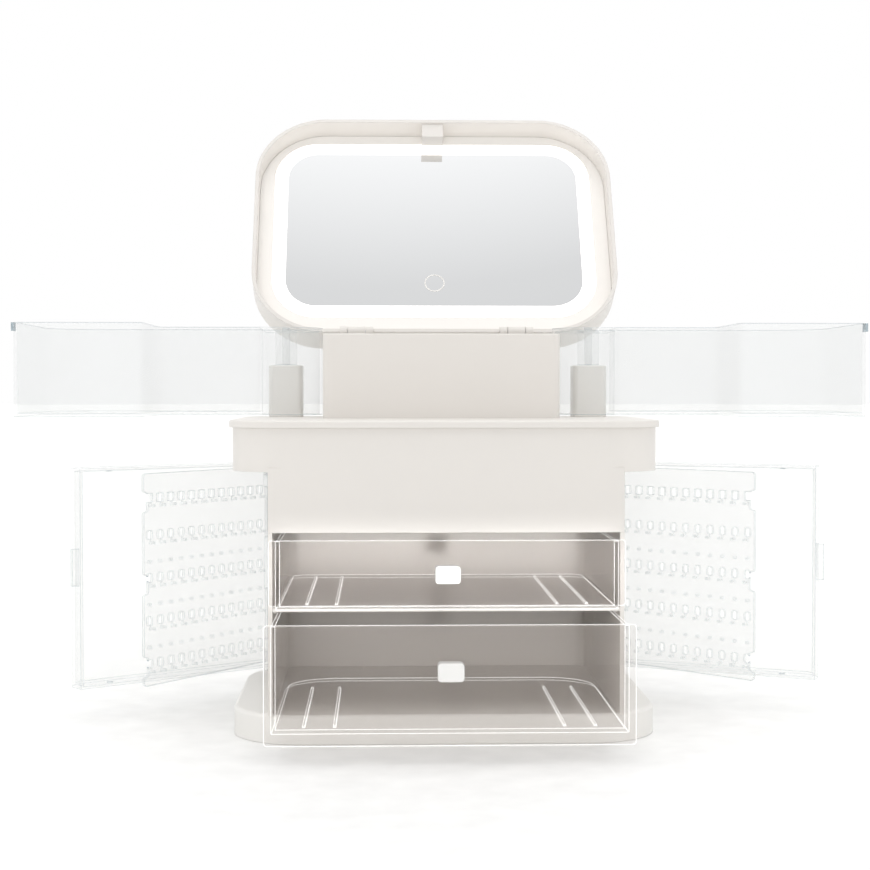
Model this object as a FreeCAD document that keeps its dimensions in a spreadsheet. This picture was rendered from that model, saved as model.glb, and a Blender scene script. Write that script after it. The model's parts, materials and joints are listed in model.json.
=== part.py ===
import FreeCAD
import Part
import Sketcher
import math
import os
from types import SimpleNamespace

# Driving dimensions in millimetres, heights above the underside of the base, angles in degrees.
# The origin is in the middle of that underside, +Z is up and the front faces -Y.
SIZES = {
    # clearances, and how far a cut runs past the surface it opens
    "overrun": 6,
    "running_gap": 0.3,
    "seat_gap": 0.1,
    "pin_gap": 0.05,
    # base, feet and bottom plate
    "base_side_margin": 16,
    "base_deep": 214,
    "base_corner": 50,
    "base_top": 20,
    "base_wall": 3,
    "base_round": 3,
    "foot_thick": 1,
    "foot_radius": 7,
    "foot_side_inset": 34,
    "foot_end_inset": 28,
    "bottom_thick": 3.4,
    "screw_radius": 1.5,
    "screw_head_radius": 3.2,
    "screw_head_high": 1.6,
    "screw_head_sunk": 1.8,
    "screw_long": 10,
    "screw_boss_radius": 5,
    "base_boss_side_inset": 66,
    "base_boss_end_inset": 30,
    # deck with its lip, front panel and closing floor
    "deck_side_proud": 2,
    "deck_deep": 220,
    "deck_corner": 40,
    "deck_bottom": 185,
    "deck_top": 220,
    "deck_wall": 3,
    "deck_round": 1.5,
    "deck_floor_thick": 3,
    "lip_proud": 2.5,
    "lip_high": 5,
    "panel_bottom": 144,
    "panel_thick": 3,
    # drawer cabinet and the shelf between the drawers
    "cabinet_wide": 242,
    "cabinet_deep": 212,
    "cabinet_wall": 3,
    "cabinet_corner": 12,
    "cabinet_boss_inset": 7,
    "cabinet_boss_end_inset": 18,
    "cabinet_boss_long": 20,
    "shelf_top": 93,
    "shelf_thick": 2.5,
    "ledge_wide": 2,
    "ledge_high": 2.5,
    # drawers and their pulls
    "plate_side_inset": 1,
    "plate_thick": 3,
    "plate_corner": 2.5,
    "plate_round": 0.8,
    "drawer_side_gap": 3,
    "drawer_deep": 200,
    "drawer_wall": 2.4,
    "rim_drop": 1,
    "upper_plate_bottom": 95.5,
    "upper_plate_top": 140,
    "upper_back_corner": 12,
    "upper_out": 12,
    "lower_plate_bottom": 12,
    "lower_plate_top": 90,
    "lower_back_corner": 38,
    "lower_out": 63,
    "rib_wide": 1.6,
    "rib_high": 1.2,
    "rib_inset": 18,
    "rib_pitch": 20,
    "rib_end_gap": 8,
    "pull_wide": 17,
    "pull_high": 12,
    "pull_deep": 10,
    "pull_round": 2.4,
    "lower_pull_rise": 10,
    # opaque box in the middle of the deck
    "box_side_inset": 63,
    "box_deep": 116,
    "box_back": 104,
    "box_top": 282,
    "box_wall": 2.5,
    "box_corner": 5,
    "box_round": 1,
    # swing trays, their posts and pins
    "pivot_side_inset": 31.5,
    "pivot_back": 80,
    "post_wide": 26,
    "post_corner": 4,
    "post_top": 260,
    "post_round": 1,
    "pivot_pin_radius": 3,
    "pivot_pin_sunk": 14,
    "tray_side_wide": 57,
    "tray_middle_gap": 1.5,
    "tray_front": 108,
    "tray_front_deep": 93,
    "tray_front_corner": 37,
    "tray_inner_corner": 6,
    "tray_end_corner": 4,
    "tray_back_corner": 28,
    "tray_wall": 2.4,
    "tray_lift": 1.5,
    "tray_top": 289,
    "tray_partition": 17.5,
    "tray_hub_radius": 8.5,
    "tray_open_angle": 90,
    "catch_wide": 8,
    "catch_high": 6,
    "catch_proud": 1.8,
    # side doors on their rods
    "rod_side_gap": 11,
    "rod_back_inset": 21,
    "rod_radius": 2,
    "door_bottom": 24,
    "door_top": 184,
    "door_long": 170,
    "door_tail": 8,
    "door_out": 15,
    "door_in": 9,
    "door_wall": 2.2,
    "door_front_corner": 14,
    "door_tail_corner": 6,
    "door_boss_radius": 5,
    "door_boss_high": 8,
    "tab_long": 5.5,
    "tab_thick": 2.4,
    "tab_inset": 2,
    "tab_bottom": 99,
    "tab_top": 126,
    "nub_radius": 2.2,
    "nub_proud": 0.6,
    "nub_inset": 26,
    "left_door_open_angle": 52.5,
    "right_door_open_angle": 63,
    "plate_turn_share": 0.6667,
    # hook plates inside the doors
    "leaf_thick": 2,
    "leaf_start": 6,
    "leaf_long": 145,
    "leaf_edge_gap": 1,
    "leaf_corner": 3,
    "leaf_notch_wide": 14,
    "leaf_notch_deep": 4.5,
    "leaf_notch_corner": 2,
    "leaf_notch_first": 41,
    "leaf_notch_pitch": 59.5,
    "knuckle_radius": 4.2,
    "knuckle_long": 40,
    "knuckle_first": 45,
    "knuckle_pitch": 80,
    "column_first": 13,
    "column_pitch": 11.4,
    "column_count": 12,
    "slot_row": 160,
    "slot_wide": 5,
    "slot_high": 6,
    "oval_row_first": 40,
    "oval_row_pitch": 31,
    "oval_row_count": 4,
    "oval_wide": 4.4,
    "oval_high": 6.4,
    "oval_corner": 1.8,
    "dot_row_first": 55,
    "dot_row_pitch": 31,
    "dot_row_count": 3,
    "dot_radius": 1,
    "peg_radius": 1.1,
    "peg_long": 4,
    # lid and its hinge
    "lid_front": 110,
    "lid_back": 105,
    "lid_corner": 60,
    "lid_rim": 290.5,
    "lid_top": 322.5,
    "lid_wall": 3,
    "lid_round": 8,
    "lid_boss_radius": 4,
    "lid_boss_side_inset": 40,
    "lid_boss_end_inset": 30,
    "lid_open_angle": 120,
    "lid_axis_back": 107.5,
    "lid_axis_high": 287,
    "lug_side_inset": 23,
    "lug_wide": 14,
    "lug_radius": 4.5,
    "lug_drop": 24,
    "ear_wide": 6,
    "ear_rise": 9,
    "lug_notch_rise": 3,
    "lid_pin_radius": 1.5,
    # light frame, mirror and what is behind them
    "frame_setback": 19,
    "frame_thick": 6.5,
    "mirror_side_inset": 26.5,
    "mirror_high": 155,
    "mirror_corner": 26,
    "mirror_thick": 3,
    "mirror_start": 39.5,
    "diffuser_band": 11,
    "channel_ledge": 2,
    "channel_deep": 2,
    "strip_thick": 1,
    "sensor_radius": 9,
    "sensor_thick": 1,
    "sensor_start": 22.5,
    "battery_wide": 60,
    "battery_long": 45,
    "battery_thick": 3,
    "battery_shift": 50,
    "board_wide": 40,
    "board_long": 24,
    "board_thick": 1.6,
    "board_shift": 40,
    "socket_wide": 9,
    "socket_long": 8,
    "socket_thick": 3.2,
    "socket_side": 30,
    # push latch at the front of the lid
    "latch_wide": 18,
    "latch_deep": 14,
    "latch_high": 12,
    "latch_rise": 1.5,
    "latch_wall": 2.4,
    "button_proud": 1.6,
    "button_long": 10.5,
    "spring_radius": 2,
    "spring_wall": 0.6,
    "spring_long": 12,
    "spring_bore_deep": 8,
}

SHEET = "Sizes"
TINY = 1e-9
QUARTER_TURN = 90


class Size:
    """A length with the sheet expression that it comes from."""

    def __init__(self, value, text):
        self.value = value
        self.text = text

    def __add__(self, other):
        return Size(self.value + number(other), f"({self.text} + {written(other)})")

    def __radd__(self, other):
        return Size(number(other) + self.value, f"({written(other)} + {self.text})")

    def __sub__(self, other):
        return Size(self.value - number(other), f"({self.text} - {written(other)})")

    def __rsub__(self, other):
        return Size(number(other) - self.value, f"({written(other)} - {self.text})")

    def __mul__(self, other):
        return Size(self.value * number(other), f"({self.text} * {written(other)})")

    __rmul__ = __mul__

    def __truediv__(self, other):
        return Size(self.value / number(other), f"({self.text} / {written(other)})")

    def __neg__(self):
        return Size(-self.value, f"(-1 * {self.text})")


def number(size):
    return size.value if isinstance(size, Size) else size


def written(size):
    return size.text if isinstance(size, Size) else f"({size})"


def bind(thing, path, size):
    """Tie a property of a document object to the sheet."""
    if isinstance(size, Size):
        thing.setExpression(path, size.text)


doc = FreeCAD.newDocument("cosmetic_case")
sheet = doc.addObject("Spreadsheet::Sheet", SHEET)
for row, (alias, value) in enumerate(SIZES.items(), start=1):
    sheet.set(f"A{row}", alias)
    sheet.set(f"B{row}", str(value))
    sheet.setAlias(f"B{row}", alias)
doc.recompute()
s = SimpleNamespace(**{alias: Size(float(sheet.get(alias)), f"{SHEET}.{alias}") for alias in SIZES})
SIDES = {"left": -1, "right": 1}


# Sketch and feature helpers

def rectangle(left, right, near, far, radius=0):
    """Corners of a rectangle whose corners share one radius."""
    return [(left, near, radius), (right, near, radius), (right, far, radius), (left, far, radius)]


def centred(wide, near, far, radius=0):
    return rectangle(-wide / 2, wide / 2, near, far, radius)


def circle(x, y, radius):
    return {"centre": (x, y), "radius": radius}


def pin_point(sketch, geometry, position, x, y):
    """Constraints, with their expressions, that hold a sketch point at x and y."""
    found = []
    for kind, axis, size in (("DistanceX", -2, x), ("DistanceY", -1, y)):
        value = number(size)
        if abs(value) < TINY:
            found.append((Sketcher.Constraint("PointOnObject", geometry, position, axis), None))
        elif value > 0:
            found.append((Sketcher.Constraint(kind, -1, 1, geometry, position, value), size))
        else:
            found.append((Sketcher.Constraint(kind, geometry, position, -1, 1, -value), -size))
    return found


def constrain(sketch, pairs):
    first = sketch.ConstraintCount
    sketch.addConstraint([constraint for constraint, size in pairs])
    for offset, (constraint, size) in enumerate(pairs):
        bind(sketch, f"Constraints[{first + offset}]", size)


def draw_circle(sketch, loop):
    x, y = loop["centre"]
    centre = FreeCAD.Vector(number(x), number(y), 0)
    ring = sketch.addGeometry(Part.Circle(centre, FreeCAD.Vector(0, 0, 1), number(loop["radius"])), False)
    pairs = pin_point(sketch, ring, 3, x, y)
    pairs.append((Sketcher.Constraint("Radius", ring, number(loop["radius"])), loop["radius"]))
    constrain(sketch, pairs)


def draw_outline(sketch, corners):
    """Draw a closed outline of square corners, each plain or rounded by its radius."""
    count = len(corners)
    points = [FreeCAD.Vector(number(x), number(y), 0) for x, y, radius in corners]
    radii = [number(radius) for x, y, radius in corners]
    into = [(points[i] - points[i - 1]).normalize() for i in range(count)]
    sides = []
    for i in range(count):
        after = (i + 1) % count
        start = points[i] + into[after] * radii[i]
        stop = points[after] - into[after] * radii[after]
        sides.append(sketch.addGeometry(Part.LineSegment(start, stop), False))
    pairs = []
    for i in range(count):
        arriving = sides[i - 1]
        leaving = sides[i]
        along = into[i]
        away = into[(i + 1) % count]
        x, y, radius = corners[i]
        if radii[i] < TINY:
            pairs.append((Sketcher.Constraint("Coincident", arriving, 2, leaving, 1), None))
            pairs += pin_point(sketch, leaving, 1, x, y)
            continue
        inward = away - along
        centre = points[i] + inward * radii[i]
        first = math.atan2(-away.y, -away.x)
        last = math.atan2(along.y, along.x)
        left_turn = along.cross(away).z > 0
        begin, end = (first, last) if left_turn else (last, first)
        if end < begin:
            end += 2 * math.pi
        ring = Part.Circle(centre, FreeCAD.Vector(0, 0, 1), radii[i])
        arc = sketch.addGeometry(Part.ArcOfCircle(ring, begin, end), False)
        first_end, last_end = (1, 2) if left_turn else (2, 1)
        pairs.append((Sketcher.Constraint("Tangent", arriving, 2, arc, first_end), None))
        pairs.append((Sketcher.Constraint("Tangent", arc, last_end, leaving, 1), None))
        pairs += pin_point(sketch, arc, 3, x + round(inward.x) * radius, y + round(inward.y) * radius)
        pairs.append((Sketcher.Constraint("Radius", arc, radii[i]), radius))
    constrain(sketch, pairs)


def prism(body, feature_type, plane, loops, start, stop):
    """Sweep the loops from start to stop along the axis square to the plane."""
    origin_plane = [datum for datum in body.Origin.OriginFeatures if datum.Role == plane + "_Plane"][0]
    sketch = body.newObject("Sketcher::SketchObject", "Sketch")
    sketch.AttachmentSupport = [(origin_plane, "")]
    sketch.MapMode = "FlatFace"
    bind(sketch, "AttachmentOffset.Base.z", -1 * stop if plane == "XZ" else start)
    for loop in loops:
        if isinstance(loop, dict):
            draw_circle(sketch, loop)
        else:
            draw_outline(sketch, loop)
    feature = body.newObject(feature_type, feature_type.split("::")[1])
    feature.Profile = sketch
    feature.Reversed = feature_type == "PartDesign::Pocket"
    bind(feature, "Length", stop - start)
    return feature


def add(body, plane, loops, start, stop):
    return prism(body, "PartDesign::Pad", plane, loops, start, stop)


def remove(body, plane, loops, start, stop):
    """Cut the loops' prism, which has to take material away."""
    doc.recompute()
    before = body.Shape.Volume
    feature = prism(body, "PartDesign::Pocket", plane, loops, start, stop)
    doc.recompute()
    if not body.Shape.Volume < before:
        raise RuntimeError(f"a cut in {body.Label} takes nothing away")
    return feature


def repeat(body, feature, pitch, count):
    """Repeat a feature along its sketch's first axis."""
    pattern = body.newObject("PartDesign::LinearPattern", "Columns")
    pattern.Originals = [feature]
    pattern.Direction = (feature.Profile[0], ["H_Axis"])
    bind(pattern, "Length", pitch * (count - 1))
    bind(pattern, "Occurrences", count)
    body.Tip = pattern
    return pattern


def round_edges(body, radius, chosen):
    """Round the edges of a body that the test picks."""
    doc.recompute()
    base = body.Tip
    names = [f"Edge{i}" for i, edge in enumerate(base.Shape.Edges, start=1) if chosen(edge.BoundBox)]
    fillet = body.newObject("PartDesign::Fillet", "Rounding")
    fillet.Base = (base, names)
    bind(fillet, "Radius", radius)
    return fillet


def level(height):
    """Test for an edge that lies flat at a height."""
    return lambda box: max(abs(box.ZMin - number(height)), abs(box.ZMax - number(height))) < 1e-4


def new_body(label):
    body = doc.addObject("PartDesign::Body", label)
    body.Label = label
    return body


def place(body, x, y, z, axis=(0, 0, 1), degrees=0):
    turn = FreeCAD.Rotation(FreeCAD.Vector(*axis), number(degrees))
    body.Placement = FreeCAD.Placement(FreeCAD.Vector(number(x), number(y), number(z)), turn)
    return body


def cylinder(label, radius, start, stop, x=0, y=0):
    """Upright cylinder from one height to another."""
    shape = doc.addObject("Part::Cylinder", label)
    bind(shape, "Radius", radius)
    bind(shape, "Height", stop - start)
    bind(shape, "Placement.Base.x", x)
    bind(shape, "Placement.Base.y", y)
    bind(shape, "Placement.Base.z", start)
    return shape


def group(label, shapes):
    """Identical pieces that share a node."""
    compound = doc.addObject("Part::Compound", label)
    compound.Label = label
    compound.Links = shapes
    return compound


def fuse(label, shapes):
    joined = doc.addObject("Part::MultiFuse", label)
    joined.Label = label
    joined.Shapes = shapes
    return joined


def four_places(x, y):
    return [(-x, -y), (x, -y), (x, y), (-x, y)]


# Sizes that several pieces share

rod_side = s.cabinet_wide / 2 + s.rod_side_gap
rod_back = s.base_deep / 2 - s.rod_back_inset
base_wide = 2 * (rod_side + s.base_side_margin)
deck_wide = base_wide + 2 * s.deck_side_proud
lid_wide = deck_wide
mirror_wide = lid_wide - 2 * s.mirror_side_inset
box_wide = deck_wide - 2 * s.box_side_inset
lug_side = box_wide / 2 - s.lug_side_inset
pivot_side = deck_wide / 2 - s.pivot_side_inset
plate_wide = s.cabinet_wide - 2 * s.plate_side_inset
drawer_wide = s.cabinet_wide - 2 * (s.cabinet_wall + s.drawer_side_gap)
boss_x = base_wide / 2 - s.base_boss_side_inset
boss_y = s.base_deep / 2 - s.base_boss_end_inset
foot_x = base_wide / 2 - s.foot_side_inset
foot_y = s.base_deep / 2 - s.foot_end_inset
screw_hole = s.screw_radius + s.pin_gap
face_wide = deck_wide - 2 * s.lip_proud
face_half_deep = s.deck_deep / 2 - s.lip_proud
cabinet_front = -1 * face_half_deep
cabinet_back = cabinet_front + s.cabinet_deep
cabinet_inner = s.cabinet_wide - 2 * s.cabinet_wall
cabinet_boss_x = cabinet_inner / 2 - s.cabinet_boss_inset + s.cabinet_wall
deck_floor_top = s.deck_bottom + s.deck_floor_thick
rod_hole = s.rod_radius + s.pin_gap
tray_bottom = s.deck_top + s.tray_lift
frame_face = s.lid_rim + s.frame_setback - s.lid_axis_high
frame_back = frame_face + s.frame_thick
lid_rim = s.lid_rim - s.lid_axis_high
lid_top = s.lid_top - s.lid_axis_high
lid_ceiling = lid_top - s.lid_wall
lid_front = -1 * s.lid_front - s.lid_axis_back
lid_back = s.lid_back - s.lid_axis_back
lid_inner_front = lid_front + s.lid_wall
lid_inner_back = lid_back - s.lid_wall
mirror_near = -1 * s.mirror_start - s.mirror_high
mirror_far = -1 * s.mirror_start


# Base, cabinet and deck

def make_feet():
    """Pads pressed flush into the pockets of the bottom plate."""
    feet = [cylinder("foot", s.foot_radius, 0, s.foot_thick, x, y) for x, y in four_places(foot_x, foot_y)]
    return group("rubber_feet", feet)


def screw(label, x, y, seat, length, upward):
    """Screw whose head sits on a seat and whose shank runs up or down from it."""
    if upward:
        head = cylinder(label + "_head", s.screw_head_radius, seat - s.screw_head_high, seat, x, y)
        shank = cylinder(label + "_shank", s.screw_radius, seat, seat + length, x, y)
    else:
        head = cylinder(label + "_head", s.screw_head_radius, seat, seat + s.screw_head_high, x, y)
        shank = cylinder(label + "_shank", s.screw_radius, seat - length, seat, x, y)
    return fuse(label, [head, shank])


def make_bottom_plate():
    body = new_body("bottom_plate")
    inset = 2 * (s.base_wall + s.seat_gap)
    deep = s.base_deep - inset
    loop = centred(base_wide - inset, -deep / 2, deep / 2, s.base_corner - inset / 2)
    add(body, "XY", [loop], 0, s.bottom_thick)
    places = four_places(boss_x, boss_y)
    holes = [circle(x, y, screw_hole) for x, y in places]
    remove(body, "XY", holes, -1 * s.overrun, s.bottom_thick + s.overrun)
    heads = [circle(x, y, s.screw_head_radius + s.seat_gap) for x, y in places]
    remove(body, "XY", heads, -1 * s.overrun, s.screw_head_sunk)
    pockets = [circle(x, y, s.foot_radius + s.seat_gap) for x, y in four_places(foot_x, foot_y)]
    remove(body, "XY", pockets, -1 * s.overrun, s.foot_thick)
    return body


def make_base():
    body = new_body("base")
    ceiling = s.base_top - s.base_wall
    inner_deep = s.base_deep - 2 * s.base_wall
    inner_corner = s.base_corner - s.base_wall
    outside = centred(base_wide, -s.base_deep / 2, s.base_deep / 2, s.base_corner)
    inside = centred(base_wide - 2 * s.base_wall, -inner_deep / 2, inner_deep / 2, inner_corner)
    rods = [(side * rod_side, rod_back) for side in SIDES.values()]
    add(body, "XY", [outside], 0, s.base_top)
    round_edges(body, s.base_round, level(s.base_top))
    remove(body, "XY", [inside], -1 * s.overrun, ceiling)
    bosses = [circle(x, y, s.screw_boss_radius) for x, y in four_places(boss_x, boss_y)]
    sockets = [circle(x, y, s.screw_boss_radius) for x, y in rods]
    for boss in bosses + sockets:
        add(body, "XY", [boss], s.bottom_thick, ceiling + s.base_wall / 2)
    pilot_top = s.screw_head_sunk + s.screw_long + s.pin_gap
    pilots = [circle(x, y, screw_hole) for x, y in four_places(boss_x, boss_y)]
    remove(body, "XY", pilots, 0, pilot_top)
    rod_holes = [circle(x, y, rod_hole) for x, y in rods]
    remove(body, "XY", rod_holes, s.bottom_thick + s.base_wall, s.base_top + s.overrun)
    return body


def make_cabinet():
    body = new_body("cabinet")
    outside = [(-s.cabinet_wide / 2, cabinet_front, 0), (s.cabinet_wide / 2, cabinet_front, 0),
               (s.cabinet_wide / 2, cabinet_back, s.cabinet_corner),
               (-s.cabinet_wide / 2, cabinet_back, s.cabinet_corner)]
    back = cabinet_back - s.cabinet_wall
    inner_corner = s.cabinet_corner - s.cabinet_wall
    mouth = cabinet_front - s.overrun
    inside = [(-cabinet_inner / 2, mouth, 0), (cabinet_inner / 2, mouth, 0),
              (cabinet_inner / 2, back, inner_corner), (-cabinet_inner / 2, back, inner_corner)]
    add(body, "XY", [outside], s.base_top, s.deck_bottom)
    remove(body, "XY", [inside], s.base_top - s.overrun, s.deck_bottom + s.overrun)
    panel_room = cabinet_front + s.panel_thick + s.seat_gap
    notch = centred(s.cabinet_wide + s.overrun, cabinet_front - s.overrun, panel_room)
    remove(body, "XY", [notch], s.panel_bottom - s.seat_gap, s.deck_bottom + s.overrun)
    ledge_top = s.shelf_top - s.shelf_thick
    for side in SIDES.values():
        wall = side * (cabinet_inner + s.cabinet_wall) / 2
        tip = side * (cabinet_inner / 2 - s.ledge_wide)
        near = cabinet_front + s.cabinet_corner
        far = back - inner_corner
        loop = [(tip, near, 0), (wall, near, 0), (wall, far, 0), (tip, far, 0)]
        add(body, "XY", [loop], ledge_top - s.ledge_high, ledge_top)
    boss_bottom = s.deck_bottom - s.cabinet_boss_long
    for x, y in cabinet_screw_places():
        add(body, "XY", [circle(x, y, s.screw_boss_radius)], boss_bottom, s.deck_bottom)
    pilots = [circle(x, y, screw_hole) for x, y in cabinet_screw_places()]
    remove(body, "XY", pilots, deck_floor_top - s.screw_long - s.pin_gap, s.deck_bottom + s.overrun)
    return body


def cabinet_screw_places():
    near = cabinet_front + s.cabinet_boss_end_inset
    far = cabinet_back - s.cabinet_boss_end_inset
    return [(side * cabinet_boss_x, y) for side in SIDES.values() for y in (near, far)]


def make_shelf():
    body = new_body("drawer_shelf")
    wide = cabinet_inner - 2 * s.seat_gap
    far = cabinet_back - s.cabinet_wall - s.seat_gap
    corner = s.cabinet_corner - s.cabinet_wall
    loop = [(-wide / 2, cabinet_front, 0), (wide / 2, cabinet_front, 0),
            (wide / 2, far, corner), (-wide / 2, far, corner)]
    add(body, "XY", [loop], s.shelf_top - s.shelf_thick, s.shelf_top)
    return body


def make_deck():
    body = new_body("deck")
    lip = centred(deck_wide, -s.deck_deep / 2, s.deck_deep / 2, s.deck_corner)
    face = centred(face_wide, -1 * face_half_deep, face_half_deep, s.deck_corner - s.lip_proud)
    inner_half = face_half_deep - s.deck_wall
    inner_corner = s.deck_corner - s.lip_proud - s.deck_wall
    inside = centred(face_wide - 2 * s.deck_wall, -1 * inner_half, inner_half, inner_corner)
    add(body, "XY", [face], s.deck_bottom, s.deck_top)
    add(body, "XY", [lip], s.deck_top - s.lip_high, s.deck_top)
    round_edges(body, s.deck_round, level(s.deck_top))
    remove(body, "XY", [inside], s.deck_bottom - s.overrun, s.deck_top - s.deck_wall)
    panel = centred(s.cabinet_wide, cabinet_front, cabinet_front + s.panel_thick)
    add(body, "XY", [panel], s.panel_bottom, s.deck_bottom + s.deck_floor_thick)
    return body


def make_deck_floor():
    body = new_body("deck_floor")
    half = face_half_deep - s.deck_wall - s.seat_gap
    corner = s.deck_corner - s.lip_proud - s.deck_wall - s.seat_gap
    wide = face_wide - 2 * (s.deck_wall + s.seat_gap)
    add(body, "XY", [centred(wide, -1 * half, half, corner)], s.deck_bottom, deck_floor_top)
    screws = [circle(x, y, screw_hole) for x, y in cabinet_screw_places()]
    rods = [circle(side * rod_side, rod_back, rod_hole) for side in SIDES.values()]
    remove(body, "XY", screws + rods, s.deck_bottom - s.overrun, deck_floor_top + s.overrun)
    return body


def make_screws():
    bottom = [screw("bottom_screw", x, y, s.screw_head_sunk, s.screw_long, True)
              for x, y in four_places(boss_x, boss_y)]
    upper = [screw("deck_screw", x, y, deck_floor_top, s.screw_long, False)
             for x, y in cabinet_screw_places()]
    return [group("bottom_screws", bottom), group("deck_screws", upper)]


# Drawers

def make_drawer(label, bottom, plate_bottom, plate_top, back_corner, out):
    """Clear drawer behind an overlapping front plate, drawn out of the cabinet by its rest travel."""
    body = new_body(label)
    plate_back = -1 * s.running_gap
    plate_front = plate_back - s.plate_thick
    rim = plate_top - s.rim_drop
    far = plate_back + s.drawer_deep
    wall = s.drawer_wall
    plate = centred(plate_wide, plate_bottom, plate_top, s.plate_corner)
    add(body, "XZ", [plate], plate_front, plate_back)
    doc.recompute()
    face = number(plate_front)
    round_edges(body, s.plate_round, lambda box: abs(box.YMin - face) < 1e-4 and abs(box.YMax - face) < 1e-4)
    outside = [(-drawer_wide / 2, plate_back, 0), (drawer_wide / 2, plate_back, 0),
               (drawer_wide / 2, far, back_corner), (-drawer_wide / 2, far, back_corner)]
    inner = drawer_wide / 2 - wall
    inside = [(-1 * inner, plate_back, 0), (inner, plate_back, 0),
              (inner, far - wall, back_corner - wall), (-1 * inner, far - wall, back_corner - wall)]
    add(body, "XY", [outside], bottom, rim)
    remove(body, "XY", [inside], bottom + wall, plate_top + s.overrun)
    for side in SIDES.values():
        for step in range(2):
            middle = side * (inner - s.rib_inset - step * s.rib_pitch)
            near = plate_back + s.rib_end_gap
            stop = far - back_corner - s.rib_end_gap
            loop = [(middle - s.rib_wide / 2, near, 0), (middle + s.rib_wide / 2, near, 0),
                    (middle + s.rib_wide / 2, stop, 0), (middle - s.rib_wide / 2, stop, 0)]
            add(body, "XY", [loop], bottom + wall / 2, bottom + wall + s.rib_high)
    return place(body, 0, cabinet_front - out, 0)


def make_pull(label, middle, out):
    """Small rounded pull on the face of a drawer's front plate."""
    body = new_body(label)
    face = -1 * s.running_gap - s.plate_thick
    loop = centred(s.pull_wide, middle - s.pull_high / 2, middle + s.pull_high / 2, s.pull_round)
    add(body, "XZ", [loop], face - s.pull_deep, face)
    tip = number(face - s.pull_deep)
    round_edges(body, s.pull_round / 2, lambda box: abs(box.YMin - tip) < 1e-4 and abs(box.YMax - tip) < 1e-4)
    return place(body, 0, cabinet_front - out, 0)


# Middle box, posts and swing trays

def hinge_lug_profile(drop):
    """Lug about the lid's axis in the plane of y and z, with its foot the drop below the axis."""
    near_full = s.lug_radius - s.pin_gap
    return [(-1 * s.lug_radius, -1 * drop, 0), (s.lug_radius, -1 * drop, 0),
            (s.lug_radius, s.lug_radius, near_full), (-1 * s.lug_radius, s.lug_radius, near_full)]


def moved(loop, x, y):
    return [(px + x, py + y, radius) for px, py, radius in loop]


def make_central_box():
    body = new_body("central_box")
    near = s.box_back - s.box_deep
    outside = centred(box_wide, near, s.box_back, s.box_corner)
    inside = centred(box_wide - 2 * s.box_wall, near + s.box_wall, s.box_back - s.box_wall,
                     s.box_corner - s.box_wall)
    add(body, "XY", [outside], s.deck_top, s.box_top)
    remove(body, "XY", [inside], s.deck_top + s.box_wall, s.box_top + s.overrun)
    round_edges(body, s.box_round, level(s.box_top))
    profile = moved(hinge_lug_profile(s.lug_drop), s.lid_axis_back, s.lid_axis_high)
    for side in SIDES.values():
        middle = side * lug_side
        add(body, "YZ", [profile], middle - s.lug_wide / 2, middle + s.lug_wide / 2)
    reach = box_wide / 2
    bore = circle(s.lid_axis_back, s.lid_axis_high, s.lid_pin_radius + s.pin_gap)
    remove(body, "YZ", [bore], -1 * reach, reach)
    return body


def make_post(name, side):
    body = new_body(f"{name}_tray_post")
    half = s.post_wide / 2
    add(body, "XY", [rectangle(-1 * half, half, -1 * half, half, s.post_corner)], s.deck_top, s.post_top)
    round_edges(body, s.post_round, level(s.post_top))
    hole = circle(0, 0, s.pivot_pin_radius + s.pin_gap)
    remove(body, "XY", [hole], s.post_top - s.pivot_pin_sunk, s.post_top + s.overrun)
    return place(body, side * pivot_side, s.pivot_back, 0)


def make_pivot_pins():
    start = s.post_top - s.pivot_pin_sunk
    stop = s.tray_top - s.running_gap
    pins = [cylinder("pivot_pin", s.pivot_pin_radius, start, stop, side * pivot_side, s.pivot_back)
            for side in SIDES.values()]
    return group("tray_pivot_pins", pins)


def make_tray(name, side):
    """L-shaped clear tray, drawn closed about its pivot and then swung open."""
    body = new_body(f"{name}_tray")
    half = s.tray_side_wide / 2
    wall = s.tray_wall
    front = -1 * s.tray_front - s.pivot_back
    step = front + s.tray_front_deep
    end = s.tray_middle_gap - pivot_side
    outside = [(side * half, front, s.tray_front_corner), (side * half, half, s.tray_back_corner),
               (-side * half, half, s.tray_back_corner), (-side * half, step, s.tray_inner_corner),
               (side * end, step, s.tray_end_corner), (side * end, front, s.tray_end_corner)]
    inner = half - wall
    partition = -1 * s.tray_partition - wall
    small = s.tray_end_corner - wall
    store = [(side * inner, front + wall, s.tray_front_corner - wall), (side * inner, partition, small),
             (-side * inner, partition, small), (-side * inner, step - wall, s.tray_inner_corner + wall),
             (side * (end + wall), step - wall, small), (side * (end + wall), front + wall, small)]
    round_end = s.tray_back_corner - wall
    housing = [(side * inner, -1 * s.tray_partition, small), (side * inner, inner, round_end),
               (-side * inner, inner, round_end), (-side * inner, -1 * s.tray_partition, small)]
    add(body, "XY", [outside], tray_bottom, s.tray_top)
    remove(body, "XY", [store], tray_bottom + wall, s.tray_top + s.overrun)
    remove(body, "XY", [housing], tray_bottom - s.overrun, s.tray_top - wall)
    add(body, "XY", [circle(0, 0, s.tray_hub_radius)], s.post_top + s.running_gap, s.tray_top - wall / 2)
    hole = circle(0, 0, s.pivot_pin_radius + s.pin_gap)
    remove(body, "XY", [hole], s.post_top - s.overrun, s.tray_top + s.overrun)
    return place(body, side * pivot_side, s.pivot_back, 0, degrees=side * s.tray_open_angle)


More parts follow.
